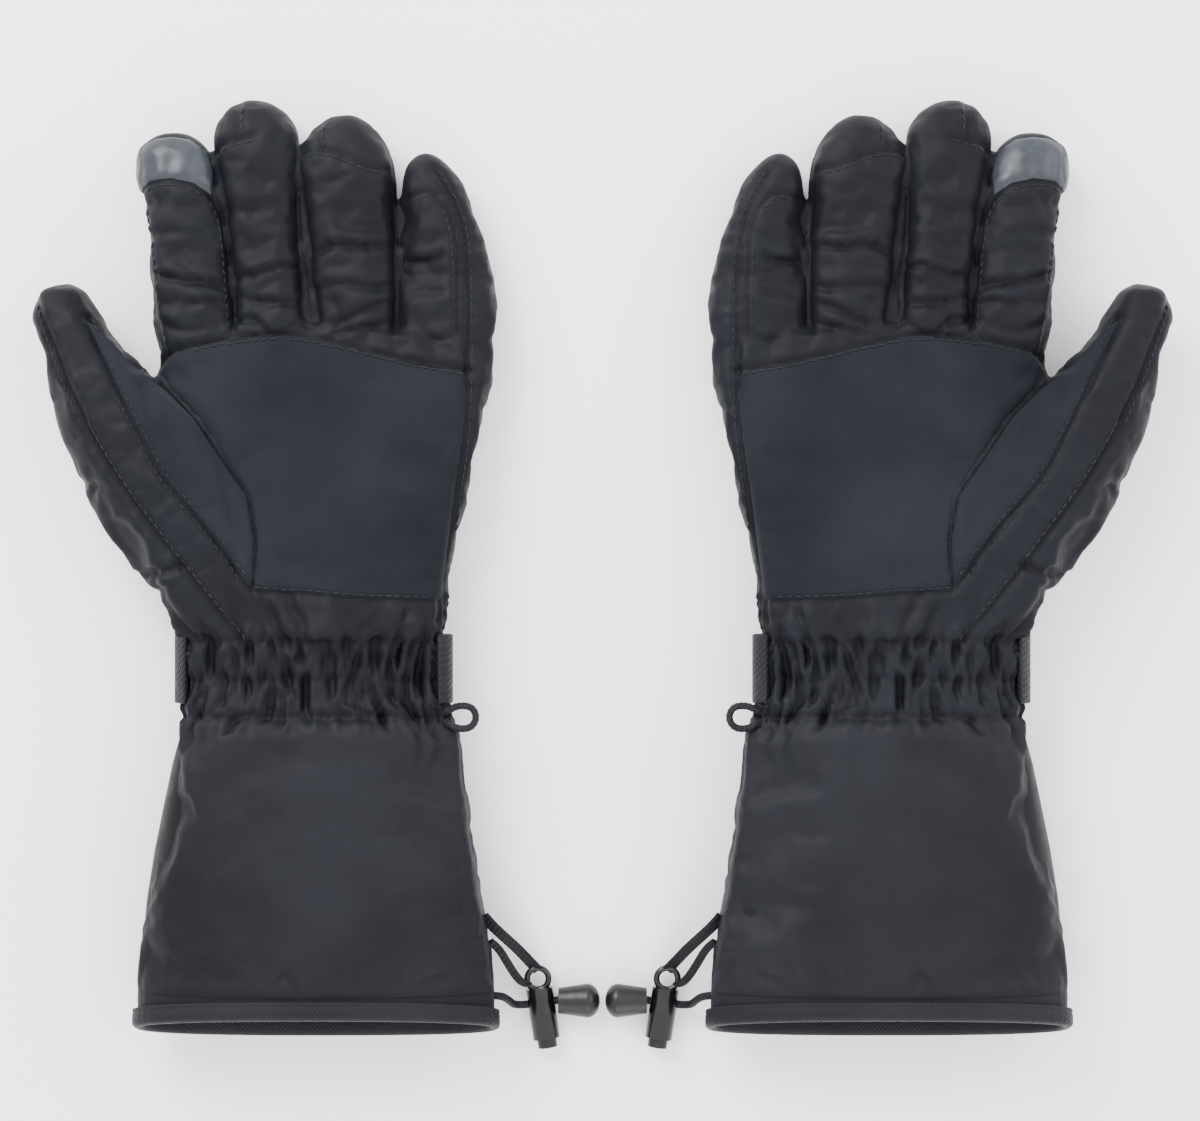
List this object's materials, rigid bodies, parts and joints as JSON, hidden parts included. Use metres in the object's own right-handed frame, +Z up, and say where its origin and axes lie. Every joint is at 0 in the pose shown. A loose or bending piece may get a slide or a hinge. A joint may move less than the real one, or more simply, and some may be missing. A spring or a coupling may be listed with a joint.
{
  "type": "insulated gauntlet gloves",
  "caption": "Pair of padded cold-protection gloves with a long flared gauntlet, gathered wrist, suede palm and a drawcord hem with lock.",
  "frame": {"origin": "under the middle of the pair, on the surface the gloves lie on", "axes": "+Z up out of the palms, +Y towards the fingertips, +X towards the right-hand glove"},
  "size_m": [0.3904, 0.3338, 0.0427],
  "materials": {
    "shell_fabric": "woven nylon, matt with a low sheen",
    "synthetic_suede": "synthetic suede, matt",
    "slick_cap": "smooth coated fabric, semi-gloss",
    "binding_tape": "woven tape, matt",
    "insulating_pile": "brushed pile, matt",
    "lining_taffeta": "plain lining, low sheen",
    "elastic": "covered elastic, matt",
    "webbing": "ribbed webbing, low sheen",
    "cord_braid": "braided cord, matt",
    "buckle_plastic": "moulded plastic, matt",
    "glossy_plastic": "moulded plastic, gloss",
    "satin_plastic": "moulded plastic, satin",
    "spring_wire": "drawn wire"
  },
  "bodies": {
    "left_hand": {"left_hand_shell": "shell_fabric", "left_gauntlet_shell": "shell_fabric", "left_hem_tunnel": "binding_tape", "left_hem_binding": "binding_tape", "left_palm_patch": "synthetic_suede", "left_thumb_patch": "synthetic_suede", "left_hand_liner": "insulating_pile", "left_gauntlet_lining": "lining_taffeta", "left_wrist_elastic": "elastic", "left_wrist_strap": "webbing", "left_strap_buckle": "buckle_plastic", "left_hang_loop": "cord_braid", "left_drawcord": "cord_braid", "left_anchor_ribbon": "webbing", "left_lock_body": "glossy_plastic", "left_lock_spring": "spring_wire"},
    "left_thumb": {"left_thumb_shell": "shell_fabric", "left_thumb_liner": "insulating_pile"},
    "left_index": {"left_index_shell": "shell_fabric", "left_index_liner": "insulating_pile", "left_index_tip_cap": "slick_cap"},
    "left_middle": {"left_middle_shell": "shell_fabric", "left_middle_liner": "insulating_pile"},
    "left_ring": {"left_ring_shell": "shell_fabric", "left_ring_liner": "insulating_pile"},
    "left_little": {"left_little_shell": "shell_fabric", "left_little_liner": "insulating_pile"},
    "left_plunger": {"left_lock_plunger": "satin_plastic"},
    "left_cord_end": {"left_cord_end": "satin_plastic"},
    "left_strap_tab": {"left_strap_tab": "webbing"},
    "right_hand": {"right_hand_shell": "shell_fabric", "right_gauntlet_shell": "shell_fabric", "right_hem_tunnel": "binding_tape", "right_hem_binding": "binding_tape", "right_palm_patch": "synthetic_suede", "right_thumb_patch": "synthetic_suede", "right_hand_liner": "insulating_pile", "right_gauntlet_lining": "lining_taffeta", "right_wrist_elastic": "elastic", "right_wrist_strap": "webbing", "right_strap_buckle": "buckle_plastic", "right_hang_loop": "cord_braid", "right_drawcord": "cord_braid", "right_anchor_ribbon": "webbing", "right_lock_body": "glossy_plastic", "right_lock_spring": "spring_wire"},
    "right_thumb": {"right_thumb_shell": "shell_fabric", "right_thumb_liner": "insulating_pile"},
    "right_index": {"right_index_shell": "shell_fabric", "right_index_liner": "insulating_pile", "right_index_tip_cap": "slick_cap"},
    "right_middle": {"right_middle_shell": "shell_fabric", "right_middle_liner": "insulating_pile"},
    "right_ring": {"right_ring_shell": "shell_fabric", "right_ring_liner": "insulating_pile"},
    "right_little": {"right_little_shell": "shell_fabric", "right_little_liner": "insulating_pile"},
    "right_plunger": {"right_lock_plunger": "satin_plastic"},
    "right_cord_end": {"right_cord_end": "satin_plastic"},
    "right_strap_tab": {"right_strap_tab": "webbing"}
  },
  "joints": [
    {"name": "left_index_flex", "type": "hinge", "parent": "left_hand", "child": "left_index", "pos_m": [-0.14375, 0.077, 0.018], "axis": [0.9925, 0.1219, 0], "range_deg": [0, 70], "stiffness_Nm_per_rad": 0.02},
    {"name": "left_middle_flex", "type": "hinge", "parent": "left_hand", "child": "left_middle", "pos_m": [-0.115, 0.0824, 0.018], "axis": [0.9959, 0.0906, 0], "range_deg": [0, 70], "stiffness_Nm_per_rad": 0.02},
    {"name": "left_ring_flex", "type": "hinge", "parent": "left_hand", "child": "left_ring", "pos_m": [-0.08575, 0.0824, 0.018], "axis": [0.9973, 0.0732, 0], "range_deg": [0, 70], "stiffness_Nm_per_rad": 0.02},
    {"name": "left_little_flex", "type": "hinge", "parent": "left_hand", "child": "left_little", "pos_m": [-0.054, 0.077, 0.018], "axis": [0.9936, 0.1132, 0], "range_deg": [0, 70], "stiffness_Nm_per_rad": 0.02},
    {"name": "left_thumb_flex", "type": "hinge", "parent": "left_hand", "child": "left_thumb", "pos_m": [-0.16786, 0.0438, 0.03174], "axis": [0.919, 0.335, -0.2078], "range_deg": [0, 40], "stiffness_Nm_per_rad": 0.02},
    {"name": "left_lock_press", "type": "slide", "parent": "left_hand", "child": "left_plunger", "axis": [-0.1478, 0.989, 0], "range_m": [0, 0.0016], "stiffness_N_per_m": 300, "deforming": ["left_lock_spring"]},
    {"name": "left_cord_end_swing", "type": "hinge", "parent": "left_hand", "child": "left_cord_end", "pos_m": [-0.0157, -0.1516, 0.0061], "axis": [0, -1, 0], "range_deg": [0, 35]},
    {"name": "left_tab_peel", "type": "hinge", "parent": "left_hand", "child": "left_strap_tab", "pos_m": [-0.09565, -0.033, 0.005], "axis": [0, 1, 0], "range_deg": [0, 40]},
    {"name": "right_index_flex", "type": "hinge", "parent": "right_hand", "child": "right_index", "pos_m": [0.14375, 0.077, 0.018], "axis": [0.9925, -0.1219, 0], "range_deg": [0, 70], "stiffness_Nm_per_rad": 0.02},
    {"name": "right_middle_flex", "type": "hinge", "parent": "right_hand", "child": "right_middle", "pos_m": [0.115, 0.0824, 0.018], "axis": [0.9959, -0.0906, 0], "range_deg": [0, 70], "stiffness_Nm_per_rad": 0.02},
    {"name": "right_ring_flex", "type": "hinge", "parent": "right_hand", "child": "right_ring", "pos_m": [0.08575, 0.0824, 0.018], "axis": [0.9973, -0.0732, 0], "range_deg": [0, 70], "stiffness_Nm_per_rad": 0.02},
    {"name": "right_little_flex", "type": "hinge", "parent": "right_hand", "child": "right_little", "pos_m": [0.054, 0.077, 0.018], "axis": [0.9936, -0.1132, 0], "range_deg": [0, 70], "stiffness_Nm_per_rad": 0.02},
    {"name": "right_thumb_flex", "type": "hinge", "parent": "right_hand", "child": "right_thumb", "pos_m": [0.16786, 0.0438, 0.03174], "axis": [0.919, -0.335, 0.2078], "range_deg": [0, 40], "stiffness_Nm_per_rad": 0.02},
    {"name": "right_lock_press", "type": "slide", "parent": "right_hand", "child": "right_plunger", "axis": [0.1478, 0.989, 0], "range_m": [0, 0.0016], "stiffness_N_per_m": 300, "deforming": ["right_lock_spring"]},
    {"name": "right_cord_end_swing", "type": "hinge", "parent": "right_hand", "child": "right_cord_end", "pos_m": [0.0157, -0.1516, 0.0061], "axis": [0, 1, 0], "range_deg": [0, 35]},
    {"name": "right_tab_peel", "type": "hinge", "parent": "right_hand", "child": "right_strap_tab", "pos_m": [0.09565, -0.033, 0.005], "axis": [0, -1, 0], "range_deg": [0, 40]},
    {"name": "right_glove_apart", "type": "slide", "parent": "left_hand", "child": "right_hand", "axis": [1, 0, 0], "range_m": [0, 0.2]}
  ]
}
